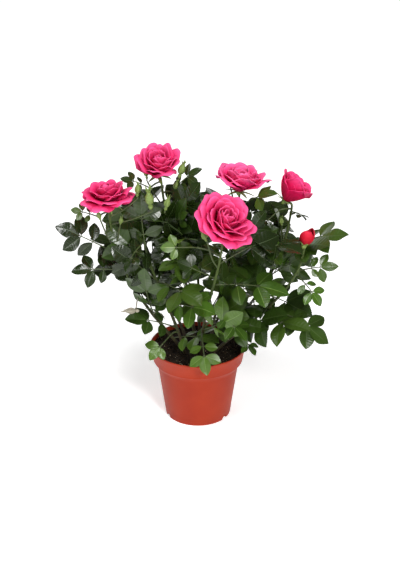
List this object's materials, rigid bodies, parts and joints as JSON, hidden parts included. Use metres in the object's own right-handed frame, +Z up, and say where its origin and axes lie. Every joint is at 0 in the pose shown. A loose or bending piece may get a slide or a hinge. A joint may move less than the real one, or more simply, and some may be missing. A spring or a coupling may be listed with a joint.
{
  "type": "potted patio rose bush",
  "caption": "Miniature patio rose in a round plastic pot: upright canes fan out from dark peat into glossy toothed foliage topped by open pink blooms.",
  "frame": {"origin": "centre of the pot's flat underside", "axes": "+Z up, -Y towards the front of the plant, +X to its right as seen from the front"},
  "size_m": [0.3406, 0.2543, 0.3439],
  "materials": {
    "pot": "smooth terracotta-coloured moulded plastic, faint sheen",
    "soil": "moist dark peat, crumbly, with pale specks",
    "canes": "green bark, browner at the foot, with small prickles",
    "leaves": "glossy dark green, veined, toothed edge, paler underside",
    "petals": "velvety bright pink, paler at the curled edges"
  },
  "bodies": {
    "root": {"pot": "pot", "soil": "soil", "cane_left": "canes", "cane_left_inner": "canes", "cane_top_left": "canes", "cane_centre": "canes", "cane_top_right": "canes", "cane_right": "canes", "cane_red_bud": "canes", "cane_back_left": "canes", "cane_back": "canes", "cane_back_right": "canes", "bough_left_tip": "canes", "bough_left_low_tip": "canes", "bough_left_low": "canes", "bough_side_left": "canes", "bough_right_front": "canes", "bough_right_tip": "canes", "bough_right_middle": "canes", "bough_right_low": "canes", "bough_front_low": "canes", "bough_side_right": "canes", "bough_back_low_left": "canes", "bough_back_low_right": "canes", "leaves_left_tip": "leaves", "leaves_left_high": "leaves", "leaves_left_low_tip": "leaves", "leaves_left_inner": "leaves", "leaves_left_low": "leaves", "leaves_left_top": "leaves", "leaves_crown_left": "leaves", "leaves_crown": "leaves", "leaves_centre": "leaves", "leaves_centre_front": "leaves", "leaves_centre_low": "leaves", "leaves_right_front": "leaves", "leaves_right_top": "leaves", "leaves_right_high": "leaves", "leaves_right_tip": "leaves", "leaves_right_middle": "leaves", "leaves_right_hanging": "leaves", "leaves_right_low_tip": "leaves", "leaves_right_inner": "leaves", "leaves_front_low": "leaves", "leaves_foot_front": "leaves", "leaves_foot_left": "leaves", "leaves_foot_right": "leaves", "leaves_side_left": "leaves", "leaves_side_right": "leaves", "leaves_back_left": "leaves", "leaves_back": "leaves", "leaves_back_right": "leaves", "leaves_back_low_left": "leaves", "leaves_back_low_right": "leaves", "bloom_left": "petals", "bloom_top_left": "petals", "bloom_top_right": "petals", "bloom_centre": "petals", "bloom_right": "petals", "bud_red": "petals"}
  },
  "joints": []
}
